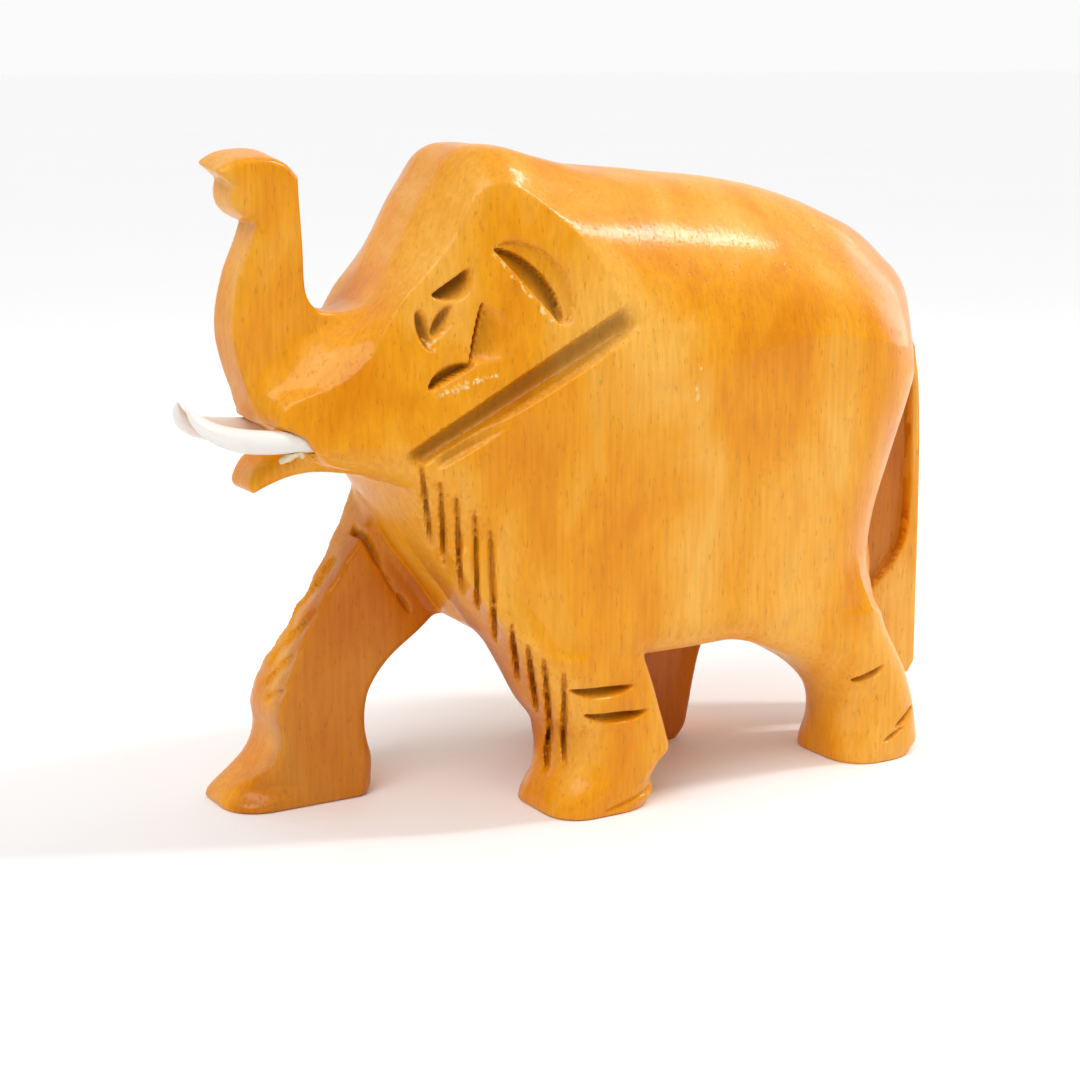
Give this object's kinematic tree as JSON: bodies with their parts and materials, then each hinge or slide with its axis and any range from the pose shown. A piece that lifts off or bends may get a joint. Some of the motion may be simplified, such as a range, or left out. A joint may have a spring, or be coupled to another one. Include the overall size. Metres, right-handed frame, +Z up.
{
  "type": "carved wooden elephant figurine",
  "caption": "Small striding elephant carved from one wood block, trunk raised, with white tusks glued into its mouth.",
  "frame": {"origin": "middle of the figure's box on the floor plane, under its belly", "axes": "-X the way the elephant faces, -Y its left flank, +Z up; X runs along its length"},
  "size_m": [0.101, 0.036, 0.076],
  "materials": {
    "lacquered_wood": "clear lacquer over fine straight-grained golden wood, satin to gloss",
    "tusk_white": "smooth white plastic, polished",
    "dried_glue": "dried cream-coloured glue, lumpy"
  },
  "bodies": {
    "root": {"carved_body": "lacquered_wood", "tusk_left": "tusk_white", "tusk_right": "tusk_white", "tusk_glue_left": "dried_glue", "tusk_glue_right": "dried_glue"}
  },
  "joints": []
}
